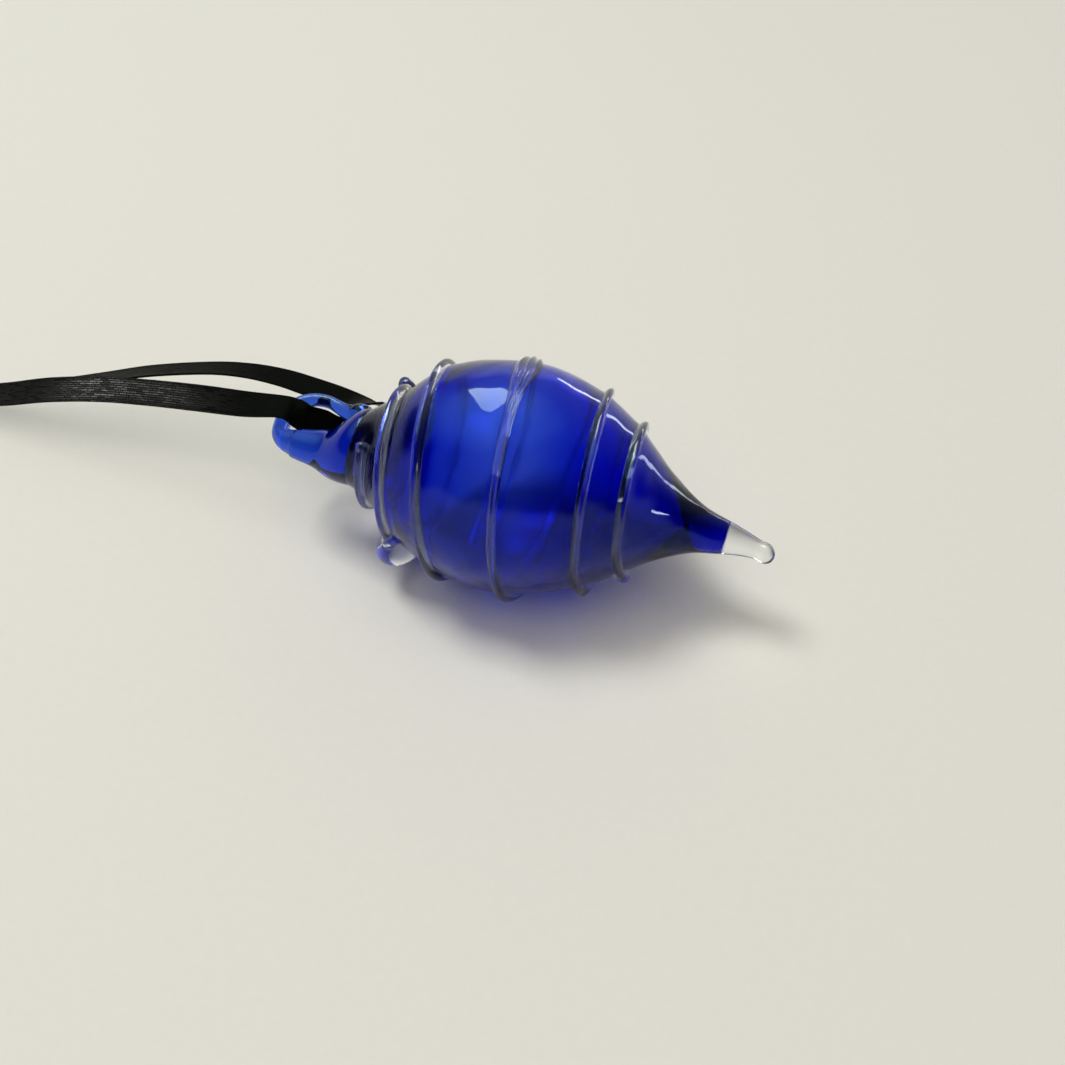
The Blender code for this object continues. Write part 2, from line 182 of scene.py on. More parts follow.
def blurred(values, sigma):
    """Values with an even step, smoothed with the two ends held."""
    reach = int(4 * sigma)
    kernel = np.exp(-0.5 * (np.arange(-reach, reach + 1) / sigma) ** 2)
    kernel /= kernel.sum()
    first = 2 * values[0] - values[reach:0:-1]
    last = 2 * values[-1] - values[-2:-reach - 2:-1]
    return np.convolve(np.concatenate([first, values, last]), kernel, "valid")


FINE_STEPS = 1801
OUTLINE_BLUR = 30
FINE = np.linspace(SEAM, NECK, FINE_STEPS)
FINE_RADIUS = blurred(np.array([smooth_value(OUTLINE, s) for s in FINE]), OUTLINE_BLUR)
FINE_SLOPE = np.gradient(FINE_RADIUS, FINE)


def outline(station):
    """The teardrop's radius at stations."""
    return np.interp(station, FINE, FINE_RADIUS)


def outline_slope(station):
    """How fast the radius grows with the station."""
    return np.interp(station, FINE, FINE_SLOPE)


def sideways(station):
    """How far the neck and the clear tip bend to the side."""
    neck = np.maximum(station - NECK_BEND_STATION, 0.0) / (NECK - NECK_BEND_STATION)
    tip = np.maximum(SEAM - station, 0.0) / SEAM
    return -NECK_BEND * neck ** 2 - TIP_BEND * tip ** 2


def round_points(station, angle, radius):
    """Points round the axis on slightly skewed sections, as an array with a last axis of three."""
    station, angle, radius = np.broadcast_arrays(station, angle, radius)
    x = SKEW * radius * np.cos(angle - SKEW_ANGLE) - station
    y = radius * np.cos(angle) + sideways(station)
    return np.stack([x, y, radius * np.sin(angle)], -1)


def laid(points):
    """Points of the ornament's frame in millimetres, as points of the row frame in metres."""
    turn = np.array(LAID.to_3x3())
    return np.asarray(points) * MM @ turn.T + np.array(LAID.translation)


THREAD_KNOTS = []
for number, (over, under) in enumerate(THREAD_TURNS):
    THREAD_KNOTS.append((OVER_ANGLE + TAU * number, over))
    THREAD_KNOTS.append((UNDER_ANGLE + TAU * number, under))
FINE_ANGLE_STEPS = 2400
FINE_ANGLE = np.linspace(THREAD_START, THREAD_END, FINE_ANGLE_STEPS)
FINE_STATION = np.array([smooth_value(THREAD_KNOTS, a) for a in FINE_ANGLE])


def thread_station(angle):
    """The station of the thread at counted angles."""
    return np.interp(angle, FINE_ANGLE, FINE_STATION)


FILLET_HEIGHT = 0.16
FILLET_WIDTH = 1.0


def fillet(station, angle):
    """How far the wall is drawn up towards the thread, at stations and angles from 0 to a full turn."""
    station, angle = np.broadcast_arrays(station, angle)
    nearest = np.full(station.shape, FAR_AWAY)
    for turn in range(len(THREAD_TURNS) + 1):
        counted = angle + TAU * turn
        past = np.maximum(np.maximum(THREAD_START - counted, counted - THREAD_END), 0.0)
        along = (station - thread_station(counted)) * np.sqrt(1 + outline_slope(station) ** 2)
        nearest = np.minimum(nearest, np.hypot(along, past * outline(station)))
    return FILLET_HEIGHT * np.exp(-(nearest / FILLET_WIDTH) ** 2)


WOBBLE_FADE = 4.0
BROAD_WOBBLES = (
    # height, waves round, turn for each millimetre along, phase
    (0.05, 2, 0.21, 0.6), (0.035, 3, -0.35, 2.1), (0.02, 5, 0.55, 4.0),
)
FINE_WOBBLES = (
    # the same, and the waves round and the turn along of the patches they come in
    (0.016, 9, 1.25, 1.0, 2, 0.31), (0.010, 14, -1.7, 0.4, -1, 0.23),
)


def wobble(station, angle):
    """Unevenness of hand-blown glass, dying away at both ends."""
    fade = np.clip(np.minimum(station - SEAM, NECK - station) / WOBBLE_FADE, 0, 1)
    total = 0.0
    for height, waves, along, phase in BROAD_WOBBLES:
        total = total + height * np.sin(waves * angle + along * station + phase)
    for height, waves, along, phase, patches, patches_along in FINE_WOBBLES:
        patch = np.sin(patches_along * station + patches * angle)
        total = total + height * np.sin(waves * angle + along * station + phase) * patch
    return fade * total


def wall(station):
    """Thickness of the wall, least where the glass was blown widest."""
    return THIN_WALL + WALL_GROWTH * ((station - THIN_STATION) / WALL_GROWTH_RUN) ** 2


def facing(points, faces, outwards=True):
    """The faces of a closed shell wound one way, turned to look outwards, or inwards for a hollow."""
    points = np.asarray(points)
    volume = 0.0
    for corners in (3, 4):
        chosen = np.array([f for f in faces if len(f) == corners])
        for k in range(1, corners - 1) if len(chosen) else ():
            a, b, c = points[chosen[:, 0]], points[chosen[:, k]], points[chosen[:, k + 1]]
            volume += (a * np.cross(b, c)).sum()
    return faces if (volume > 0) == outwards else [f[::-1] for f in faces]


def add_mesh(name, points, faces, material):
    """A smooth-shaded mesh object from row-frame points."""
    mesh = bpy.data.meshes.new(name)
    mesh.from_pydata([tuple(p) for p in points], [], faces)
    mesh.shade_smooth()
    mesh.materials.append(material)
    made = bpy.data.objects.new(name, mesh)
    bpy.context.scene.collection.objects.link(made)
    return made


def grid_faces(rows, columns, start=0):
    """Faces through rows of points that close round on themselves."""
    faces = []
    for i in range(rows - 1):
        for j in range(columns):
            k = (j + 1) % columns
            low, high = start + i * columns, start + (i + 1) * columns
            faces.append((low + j, low + k, high + k, high + j))
    return faces


def lofted(rings, start_pole=None, end_pole=None):
    """Points and faces through rings of equal count, with each end closed on a pole."""
    rings = np.asarray(rings)
    rows, columns = rings.shape[:2]
    points = rings.reshape(-1, 3)
    faces = grid_faces(rows, columns)
    for pole, base in ((start_pole, 0), (end_pole, (rows - 1) * columns)):
        middle = rings[0 if base == 0 else -1].mean(0) if pole is None else np.asarray(pole)
        points = np.vstack([points, middle])
        for j in range(columns):
            cap = (base + (j + 1) % columns, base + j, len(points) - 1)
            faces.append(cap if base == 0 else (cap[1], cap[0], cap[2]))
    return points, facing(points, faces)


def joined(*shells):
    """Several (points, faces) as one."""
    points, faces = np.zeros((0, 3)), []
    for shell_points, shell_faces in shells:
        faces += [tuple(i + len(points) for i in f) for f in shell_faces]
        points = np.vstack([points, shell_points])
    return points, faces


def node_adder(owner):
    """Empties the node tree of a material or world, and gives a function that adds nodes to it."""
    owner.use_nodes = True
    tree = owner.node_tree
    tree.nodes.clear()

    def add(kind, inputs=None, **settings):
        node = tree.nodes.new(kind)
        for key, value in settings.items():
            setattr(node, key, value)
        for key, value in (inputs or {}).items():
            if isinstance(value, bpy.types.NodeSocket):
                tree.links.new(value, node.inputs[key])
            else:
                node.inputs[key].default_value = value
        return node

    return add


def new_material(name):
    """An empty node material, and a function that adds nodes to it."""
    made = bpy.data.materials.new(name)
    return made, node_adder(made)


GLASS_IOR = 1.47


def glass(name, base, ripple, absorb=None, density=0.0, inner_film=0.0, gleam=(1, 1, 1, 1)):
    """Glass with drawn ripples and a faint film, that takes colour with depth.

    inner_film is the roughness added on points with the attribute "inner", and gleam tints the reflections.
    """
    made, add = new_material(name)
    place = add("ShaderNodeTexCoord").outputs["Object"]
    swirl = add("ShaderNodeTexNoise", {"Vector": place, "Scale": 170.0, "Detail": 2.0, "Distortion": 0.8})
    film = add("ShaderNodeTexNoise", {"Vector": place, "Scale": 420.0, "Detail": 3.0})
    rough = add("ShaderNodeMapRange", {"Value": film.outputs["Fac"], "From Min": 0.35, "From Max": 0.75,
                                       "To Min": 0.0, "To Max": 0.03}).outputs["Result"]
    if inner_film:
        inner = add("ShaderNodeAttribute", attribute_name="inner").outputs["Fac"]
        rough = add("ShaderNodeMath", {0: inner, 1: inner_film, 2: rough},
                    operation="MULTIPLY_ADD").outputs[0]
    bump = add("ShaderNodeBump", {"Height": swirl.outputs["Fac"], "Strength": ripple, "Distance": 0.0005})
    body = add("ShaderNodeBsdfPrincipled", {
        "Base Color": base, "Roughness": rough, "IOR": GLASS_IOR,
        "Transmission Weight": 1.0, "Normal": bump.outputs["Normal"], "Specular Tint": gleam,
    })
    ends = {"Surface": body.outputs[0]}
    if absorb:
        depth = add("ShaderNodeVolumeAbsorption", {"Color": absorb, "Density": density})
        ends["Volume"] = depth.outputs[0]
    add("ShaderNodeOutputMaterial", ends)
    return made


def satin(name):
    """Black satin: floats of warp over fine weft, from the ribbon's own width and length."""
    made, add = new_material(name)
    place = add("ShaderNodeUVMap", uv_map="ribbon").outputs["UV"]
    bricks = add("ShaderNodeTexBrick", {
        "Vector": place, "Color1": (1, 1, 1, 1), "Color2": (0.30, 0.30, 0.30, 1), "Mortar": (0, 0, 0, 1),
        "Scale": 1.0, "Mortar Size": 0.06, "Mortar Smooth": 0.5, "Brick Width": 1.2, "Row Height": 0.30,
    }, offset=0.37, offset_frequency=2)
    slub = add("ShaderNodeTexNoise", {"Vector": place, "Scale": 1.6, "Detail": 4.0, "Roughness": 0.6})
    shade = add("ShaderNodeMix", {"Factor": slub.outputs["Fac"], "A": (0.0008, 0.0009, 0.0005, 1),
                                  "B": (0.003, 0.003, 0.002, 1)}, data_type="RGBA")
    rough = add("ShaderNodeMapRange", {"Value": bricks.outputs["Color"], "To Min": 0.50, "To Max": 0.15})
    bump = add("ShaderNodeBump", {"Height": bricks.outputs["Color"], "Strength": 0.5, "Distance": 0.00006})
    body = add("ShaderNodeBsdfPrincipled", {
        "Base Color": shade.outputs["Result"], "Roughness": rough.outputs["Result"], "IOR": 1.5,
        "Normal": bump.outputs["Normal"], "Specular IOR Level": 0.02, "Anisotropic": 0.3,
    })
    add("ShaderNodeOutputMaterial", {"Surface": body.outputs[0]})
    return made


BLUE_GLEAM = (0.35, 0.50, 0.90, 1)
COBALT = glass("cobalt_glass", base=(0.80, 0.86, 1.0, 1), ripple=0.12, absorb=(0.04, 0.28, 0.92, 1),
               density=2600.0, inner_film=0.16, gleam=BLUE_GLEAM)
ROD_GLASS = glass("cobalt_rod_glass", base=(0.09, 0.20, 0.77, 1), ripple=0.05, absorb=(0.04, 0.36, 0.90, 1),
                  density=450.0, gleam=BLUE_GLEAM)
CLEAR = glass("clear_glass", base=(0.97, 0.98, 0.98, 1), ripple=0.04)
SATIN = satin("black_satin")

# Points along and round the bulb's skin and its hollow
SKIN_ALONG, SKIN_ROUND = 260, 288
HOLLOW_ALONG, HOLLOW_ROUND = 170, 192
# The hollow's own unevenness: its share of the skin's, its turn from it, and the radius where it is whole
HOLLOW_WOBBLE = 0.6
HOLLOW_WOBBLE_TURN = 0.5
HOLLOW_WOBBLE_RADIUS = 6


def make_bulb():
    """The teardrop: an outer skin drawn up to the thread, and the closed hollow inside it."""
    angle = np.linspace(0, TAU, SKIN_ROUND, endpoint=False)[None, :]
    station = np.linspace(SEAM, NECK, SKIN_ALONG)[:, None]
    outer = lofted(round_points(
        station, angle, outline(station) + fillet(station, angle) + wobble(station, angle)))
    angle = np.linspace(0, TAU, HOLLOW_ROUND, endpoint=False)[None, :]
    share = 0.5 * (1 - np.cos(np.linspace(0, math.pi, HOLLOW_ALONG)))[1:-1]
    along = HOLLOW_END + (HOLLOW_TOP - HOLLOW_END) * share
    ends = np.minimum((along - HOLLOW_END) / HOLLOW_END_ROUNDING, (HOLLOW_TOP - along) / HOLLOW_TOP_ROUNDING)
    rounded = np.sqrt(1 - (1 - np.clip(ends, 0, 1)) ** 2)
    room = ((outline(along) - wall(along)) * rounded)[:, None]
    along = along[:, None]
    uneven = HOLLOW_WOBBLE * wobble(along, angle + HOLLOW_WOBBLE_TURN)
    points, faces = lofted(
        round_points(along, angle, room + uneven * np.clip(room / HOLLOW_WOBBLE_RADIUS, 0, 1)),
        round_points(HOLLOW_END, 0.0, 0.0), round_points(HOLLOW_TOP, 0.0, 0.0))
    points, faces = joined(outer, (points, facing(points, faces, outwards=False)))
    made = add_mesh("bulb_glass", laid(points), faces, COBALT)
    inner = made.data.attributes.new("inner", "FLOAT", "POINT")
    inner.data.foreach_set("value", np.arange(len(points)) >= len(outer[0]))
    return made


# Points along the nub and the rest of the tip, and round them
NUB_ALONG, TIP_ALONG, TIP_ROUND = 14, 40, 96


def make_tip():
    """The clear drawn tip with its nub."""
    turn = np.linspace(0, 0.5 * math.pi, NUB_ALONG)[1:]
    station = list(NUB * (1 - np.cos(turn)))
    radius = list(NUB * np.sin(turn))
    for s in np.linspace(NUB, SEAM + FUSE, TIP_ALONG)[1:]:
        station.append(s)
        radius.append(smooth_value(TIP_OUTLINE, min(s, SEAM)))
    angle = np.linspace(0, TAU, TIP_ROUND, endpoint=False)[None, :]
    rings = round_points(np.array(station)[:, None], angle, np.array(radius)[:, None])
    points, faces = lofted(rings, round_points(0.0, 0.0, 0.0))
    return add_mesh("tip_glass", laid(points), faces, CLEAR)


SWELLS = (
    # turn, angle and spread in degrees, added half width, added height
    (0, 132, 10, 0.25, 0.30),
    (1, 40, 9, 0.50, 1.10),
    (1, 228, 29, 1.95, 2.75),
    (3, 62, 46, 0.95, -0.62),
    (4, 225, 16, 0.20, 0.15),
    (5, 212, 12, 0.35, 0.25),
)
# Where the thread is smeared into ridges: turn, angle and spread in degrees
RIDGES = ((3, 70, 55),)
RIDGE_HEIGHT = 0.55
RIDGE_WAVES = 3
RIDGE_PHASE = 0.6
RIDGE_DRIFT = 2.2
BUBBLES = (
    # turn, angle, share of the half width, share of the height, radius
    (1, 206, -0.55, 0.62, 0.34), (1, 208, -0.10, 0.72, 0.42),
    (1, 207, 0.35, 0.66, 0.38), (1, 205, 0.70, 0.48, 0.30),
)
BUBBLE_ALONG, BUBBLE_ROUND = 11, 16


def swell(angle, turn, middle, spread):
    """One smooth hump over the counted angle."""
    away = np.clip(np.abs(angle - math.radians(middle) - TAU * turn) / math.radians(spread), 0, 1)
    return np.cos(0.5 * math.pi * away) ** 2


def bubble(centre, size):
    """A round hollow in the glass, looking inwards."""
    polar = np.linspace(0, math.pi, BUBBLE_ALONG)[1:-1, None]
    angle = np.linspace(0, TAU, BUBBLE_ROUND, endpoint=False)[None, :]
    shape = np.stack(np.broadcast_arrays(
        np.sin(polar) * np.cos(angle), np.sin(polar) * np.sin(angle), np.cos(polar)), -1)
    points, faces = lofted(centre + size * shape, centre + (0, 0, size), centre - (0, 0, size))
    return points, facing(points - centre, faces, outwards=False)


# Points along the thread, over its back and across its foot
THREAD_ALONG, THREAD_OVER, THREAD_FOOT = 1300, 23, 9
# Unevenness of the thread: waves to a radian, phase and height; and how much of it goes into the height
THREAD_WAVES = ((3.1, 0.0, 0.05), (7.3, 1.0, 0.035))
THREAD_WAVE_RISE = 0.6
THREAD_FULLNESS = 0.9
THREAD_END_ROUNDING = 0.9
THREAD_END_LEAST = 0.02
# Least height of the thread over the table, in metres
THREAD_CLEARANCE = 0.00002


def make_thread():
    """The clear thread, its foot sunk in the wall, with its drop, its bubbles and its rounded ends."""
    angle = np.linspace(THREAD_START, THREAD_END, THREAD_ALONG)
    station = thread_station(angle)
    half = np.full(len(angle), THREAD_HALF_WIDTH)
    height = np.full(len(angle), THREAD_HEIGHT)
    uneven = sum(np.sin(waves * angle + phase) * rise for waves, phase, rise in THREAD_WAVES)
    half += uneven
    height += THREAD_WAVE_RISE * uneven
    for turn, middle, spread, wider, higher in SWELLS:
        hump = swell(angle, turn, middle, spread)
        half += wider * hump
        height += higher * hump
    ridge = sum(swell(angle, *r) for r in RIDGES)
    radius = outline(station) + wobble(station, angle)
    middle = round_points(station, angle, radius)
    along = np.gradient(middle, axis=0)
    along /= np.linalg.norm(along, axis=1)[:, None]
    slope = outline_slope(station)
    lean = np.sqrt(1 + slope ** 2)
    up = np.stack([slope / lean, np.cos(angle) / lean, np.sin(angle) / lean], -1)
    up -= along * (up * along).sum(1)[:, None]
    up /= np.linalg.norm(up, axis=1)[:, None]
    across = np.cross(along, up)
    run = np.concatenate([[0], np.cumsum(np.linalg.norm(np.diff(middle, axis=0), axis=1))])
    from_end = np.minimum(run, run[-1] - run)
    ended = np.clip(from_end / (THREAD_END_ROUNDING * half), 0, 1)
    ending = np.maximum(np.sqrt(np.clip(1 - (1 - ended) ** 2, 0.0, 1)), THREAD_END_LEAST)
    rings = []
    turns = np.linspace(0, math.pi, THREAD_OVER)
    base = np.linspace(-1, 1, THREAD_FOOT)[1:-1]
    for i in range(len(angle)):
        w, h = half[i] * ending[i], height[i] * ending[i]
        d = w * np.cos(turns)
        phase = RIDGE_PHASE + RIDGE_DRIFT * angle[i]
        fold = 1 + RIDGE_HEIGHT * ridge[i] * np.cos(RIDGE_WAVES * math.pi * np.cos(turns) + phase)
        z = h * np.sin(turns) ** THREAD_FULLNESS * fold
        floor = FILLET_HEIGHT * np.exp(-(d / FILLET_WIDTH) ** 2) - FUSE
        z = np.maximum(z, floor)
        low = base * w
        low_z = FILLET_HEIGHT * np.exp(-(low / FILLET_WIDTH) ** 2) - FUSE
        d = np.concatenate([d, low])
        z = np.concatenate([z, low_z])
        rings.append(middle[i] + across[i] * d[:, None] + up[i] * z[:, None])
    shells = [lofted(rings)]
    for turn, at, aside, high, size in BUBBLES:
        i = int(np.argmin(np.abs(angle - math.radians(at) - TAU * turn)))
        centre = middle[i] + across[i] * aside * half[i] + up[i] * high * height[i]
        shells.append(bubble(centre, size))
    points, faces = joined(*shells)
    points = laid(points)
    points[:, 2] = np.maximum(points[:, 2], THREAD_CLEARANCE)
    return add_mesh("thread_glass", points, faces, CLEAR)


def smooth_min(a, b, k):
    """The lesser of two distances, blended where they are near."""
    h = np.clip(0.5 + 0.5 * (b - a) / k, 0, 1)
    return b + (a - b) * h - k * h * (1 - h)


def rod_distance(points, route, radii):
    """Distance from points to a bent rod whose radius changes along it."""
    best = np.full(len(points), FAR_AWAY)
    for start, end, r0, r1 in zip(route, route[1:], radii, radii[1:]):
        line = end - start
        t = np.clip((points - start) @ line / (line @ line), 0, 1)
        away = np.linalg.norm(points - start - t[:, None] * line, axis=1)
        best = np.minimum(best, away - r0 - t * (r1 - r0))
    return best


def loop_routes():
    """Centre lines and radii of the near and the far half of the hooked rod."""
    knots = []
    for rod, side in ((LOOP_NEAR_ROD, -LOOP_NEAR_SIDE), (LOOP_FAR_ROD, LOOP_FAR_SIDE)):
        for reach, share, radius in rod:
            knots.append((-NECK - reach * LOOP_REACH, share * side, -LOOP_DROP, radius))
    route = smooth_route(knots, LOOP_STEPS)
    return route[:, :3], route[:, 3]


ROD, ROD_RADII = loop_routes()


def gather_share(station):
    """How far the gather has passed from the neck to the rod."""
    share = np.clip((station - NECK) / GATHER_LENGTH, 0, 1)
    return share * share * (3 - 2 * share)


def loop_distance(points):
    """Distance from points to the gather and the rod, blended where they run into each other."""
    share = gather_share(-points[:, 0])
    sag = np.sin(math.pi * share)
    dy = points[:, 1] + NECK_BEND - share * (NECK_BEND - LOOP_NEAR_SIDE) + GATHER_SAG_SIDE * sag
    dz = points[:, 2] + share * LOOP_DROP + GATHER_SAG * sag
    radius = np.hypot(dy, dz)
    station = SKEW * radius * np.cos(np.arctan2(dz, dy) - SKEW_ANGLE) - points[:, 0]
    share = gather_share(station)
    target = NECK_RADIUS + share * (GATHER_END_RADIUS - NECK_RADIUS) - GATHER_SLIM * np.sin(math.pi * share)
    gather = np.maximum((radius - target) * GATHER_STEEPNESS, station - NECK - GATHER_LENGTH)
    whole = smooth_min(gather, rod_distance(points, ROD, ROD_RADII), GATHER_BLEND)
    bead = (np.linalg.norm((points - CURL_BEAD) / CURL_BEAD_SIZE, axis=1) - 1) * CURL_BEAD_SIZE.min()
    whole = smooth_min(whole, bead, CURL_BLEND)
    return np.maximum(whole, NECK - FUSE - station)


def surface_net(value, low, step):
    """Points and faces of the zero surface of a field on a grid."""
    inside = value < 0
    size = np.array(value.shape) - 1
    near = [(i, j, k) for i in (0, 1) for j in (0, 1) for k in (0, 1)]

    def corner(field, offset):
        i, j, k = offset
        return field[i:i + size[0], j:j + size[1], k:k + size[2]]

    count = sum(corner(inside, o).astype(int) for o in near)
    cells = np.argwhere((count > 0) & (count < 8))
    index = np.full(size, -1)
    index[tuple(cells.T)] = np.arange(len(cells))
    total, hits = np.zeros((len(cells), 3)), np.zeros(len(cells))
    for axis in range(3):
        for offset in near:
            if offset[axis]:
                continue
            start = cells + offset
            end = start.copy()
            end[:, axis] += 1
            a, b = value[tuple(start.T)], value[tuple(end.T)]
            cross = (a < 0) != (b < 0)
            place = np.array(offset, float) + np.zeros((len(cells), 3))
            place[:, axis] += np.where(cross, a / np.where(cross, a - b, 1), 0)
            total[cross] += place[cross]
            hits += cross
    points = low + (cells + total / hits[:, None]) * step
    faces = []
    for axis in range(3):
        p, q = [a for a in range(3) if a != axis]
        ahead = np.take(inside, range(1, inside.shape[axis]), axis)
        behind = np.take(inside, range(inside.shape[axis] - 1), axis)
        edges = np.argwhere(ahead != behind)
        edges = edges[(edges[:, p] > 0) & (edges[:, q] > 0)]
        edges = edges[(edges[:, p] < size[p]) & (edges[:, q] < size[q])]
        quad = []
        for dp, dq in ((0, 0), (1, 0), (1, 1), (0, 1)):
            at = edges.copy()
            at[:, p] -= dp
            at[:, q] -= dq
            quad.append(index[tuple(at.T)])
        quad = np.stack(quad, 1)
        turned = inside[tuple(edges.T)] == (axis == 1)
        quad[turned] = quad[turned][:, ::-1]
        faces += [tuple(f) for f in quad.tolist()]
    return points, faces


PROBE = 0.01
LEAST_SLOPE = 0.2


def drawn_to(points, distance, rounds):
    """Points moved on to the zero surface of a distance."""
    for _ in range(rounds):
        value = distance(points)
        slope = np.stack([
            (distance(points + PROBE * axis) - distance(points - PROBE * axis)) / (2 * PROBE)
            for axis in np.eye(3)
        ], -1)
        points = points - slope * (value / np.maximum((slope ** 2).sum(1), LEAST_SLOPE))[:, None]
    return points


# The grid of points that the loop's surface is found on
LOOP_GRID_STEP = 0.17
LOOP_GRID_LOW = np.array([-64.4, -7.6, -6.4])
LOOP_GRID_HIGH = np.array([-50.2, 7.0, 5.9])
LOOP_ROUNDS = 2


def make_loop():
    """The gather that closes the neck and the hooked rod, as one flowing piece of glass."""
    counts = np.ceil((LOOP_GRID_HIGH - LOOP_GRID_LOW) / LOOP_GRID_STEP).astype(int)
    axes = [LOOP_GRID_LOW[a] + LOOP_GRID_STEP * np.arange(counts[a]) for a in range(3)]
    grid = np.stack(np.meshgrid(*axes, indexing="ij"), -1).reshape(-1, 3)
    field = loop_distance(grid).reshape(counts)
    points, faces = surface_net(field, LOOP_GRID_LOW, LOOP_GRID_STEP)
    points = drawn_to(points, loop_distance, LOOP_ROUNDS)
    return add_mesh("loop_glass", laid(points), facing(points, faces), ROD_GLASS)


def strip_line(points, steps):
    """Row-frame centre line of a stretch of ribbon, with its width and face directions."""
    places = [(CROWN_X + r * MM, s * MM, z * MM, math.radians(roll)) for r, s, z, roll in points]
    line = smooth_route(places, steps)
    along = np.gradient(line[:, :3], axis=0)
    across = np.cross((0, 0, 1.0), along)
    across /= np.linalg.norm(across, axis=1)[:, None]
    face = np.cross(along / np.linalg.norm(along, axis=1)[:, None], across)
    turn = line[:, 3:]
    turned_across = across * np.cos(turn) + face * np.sin(turn)
    turned_face = face * np.cos(turn) - across * np.sin(turn)
    return line[:, :3], turned_across, turned_face


# Section of the ribbon: places across it as shares of its half width, and the share of its thickness there
SELVEDGE = (-1, -0.985, -0.95, -0.9, -0.8, -0.5, 0, 0.5, 0.8, 0.9, 0.95, 0.985, 1)
SELVEDGE_THICKNESS = (0.45, 0.8, 1.0, 0.95, 0.78, 0.74, 0.72, 0.74, 0.78, 0.95, 1.0, 0.8, 0.45)
TOOTHED_SHARE = 0.94
TOOTH_DEPTH = 0.012
TOOTH_PITCH = 0.42


def strip_shape(place, across, face, width=RIBBON_WIDTH, cup=0.0):
    """A strip with a rolled, finely toothed selvedge: points, faces and each point's map in millimetres."""
    run = np.concatenate([[0], np.cumsum(np.linalg.norm(np.diff(place, axis=0), axis=1))]) / MM
    share = np.array(SELVEDGE + SELVEDGE[::-1])
    thick = np.array(SELVEDGE_THICKNESS + tuple(-v for v in SELVEDGE_THICKNESS[::-1]))
    d = 0.5 * width * MM * share[None, :] * np.ones((len(run), 1))
    tooth = 1 + TOOTH_DEPTH * np.cos(TAU * run / TOOTH_PITCH)[:, None]
    d = np.where(np.abs(share) > TOOTHED_SHARE, d * tooth, d)
    z = (0.5 * RIBBON_THICKNESS * thick - cup * share ** 2) * MM
    rings = place[:, None] + across[:, None] * d[..., None] + face[:, None] * z[None, :, None]
    points, faces = lofted(rings)
    spots = [(r, 0.5 * width * s) for r in run for s in share] + [(run[0], 0.0), (run[-1], 0.0)]
    return points, faces, np.array(spots)


def add_satin(name, *strips):
    """One satin piece from strips, with the ribbon's own width and length as its map."""
    points, faces = joined(*[s[:2] for s in strips])
    spots = np.vstack([s[2] for s in strips])
    made = add_mesh(name, points, faces, SATIN)
    order = np.empty(len(made.data.loops), int)
    made.data.loops.foreach_get("vertex_index", order)
    layer = made.data.uv_layers.new(name="ribbon")
    layer.data.foreach_set("uv", spots[order].ravel())
    return made


# Knot: where both strands run through it, and the turn wrapped round them
KNOT_THROUGH = (
    ((-56.8, 0.0, 2.96, 0), (-59.0, 0.4, 2.9, 20), (-61.0, 0.4, 2.7, 30), (-63.0, -0.3, 2.7, 12),
     (-65.4, -1.0, 2.52, 0)),
    ((-56.7, 0.63, 1.57, 0), (-59.0, 0.1, 1.5, -12), (-61.0, -0.3, 1.5, -18), (-63.0, 0.4, 1.5, -8),
     (-65.2, 1.0, 1.22, 0)),
)
KNOT_THROUGH_WIDTH = 3.42
KNOT_THROUGH_STEPS = 24
KNOT_REACH = 61.0
KNOT_CENTRE_HEIGHT = 2.15
KNOT_SIDE = 2.35
KNOT_HEIGHT = 1.6
WRAP_START, WRAP_END, WRAP_STEPS = -0.3 * math.pi, 2.35 * math.pi, 260
WRAP_WIDTH = 3.3
WRAP_CUP = 0.42
WRAP_DRIFT = 1.15
WRAP_TUCK = 0.32
WRAP_TUCK_SHARE = 0.16
WRAP_CREASE = 0.035
WRAP_CREASES = 5


def make_knot():
    """An overhand knot: both strands run through it to the tails, with one turn wrapped round them."""
    strips = [strip_shape(*strip_line(points, KNOT_THROUGH_STEPS), width=KNOT_THROUGH_WIDTH)
              for points in KNOT_THROUGH]
    turn = np.linspace(WRAP_START, WRAP_END, WRAP_STEPS)
    share = (turn - turn[0]) / (turn[-1] - turn[0])
    tuck = 1 - WRAP_TUCK * np.clip(1 - np.minimum(share, 1 - share) / WRAP_TUCK_SHARE, 0, 1)
    tuck *= 1 + WRAP_CREASE * np.sin(WRAP_CREASES * turn)
    x = (CROWN_X / MM - KNOT_REACH + WRAP_DRIFT * (1 - 2 * share)) * MM
    y = KNOT_SIDE * tuck * np.cos(turn) * MM
    z = (KNOT_CENTRE_HEIGHT + KNOT_HEIGHT * tuck * np.sin(turn)) * MM
    place = np.stack([x, y, z], -1)
    along = np.gradient(place, axis=0)
    along /= np.linalg.norm(along, axis=1)[:, None]
    across = np.array((-1.0, 0, 0)) + along * along[:, :1]
    across /= np.linalg.norm(across, axis=1)[:, None]
    face = np.cross(along, across)
    if (face[:, 2] * np.sin(turn)).sum() < 0:
        face = -face
    strips.append(strip_shape(place, across, face, width=WRAP_WIDTH, cup=WRAP_CUP))
    return add_satin("satin_knot", *strips)


def collect(name, piece):
    """Puts a piece in a collection that a lamp may be tied to."""
    if name not in bpy.data.collections:
        bpy.data.collections.new(name)
    bpy.data.collections[name].objects.link(piece)


def dress(piece, body, node):
    """Puts a piece in place of a CAD node."""
    collect(body + "_pieces", piece)
    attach(piece, body)
    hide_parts(node)


STRAND_STEPS = 60
TAIL_STEPS = 40


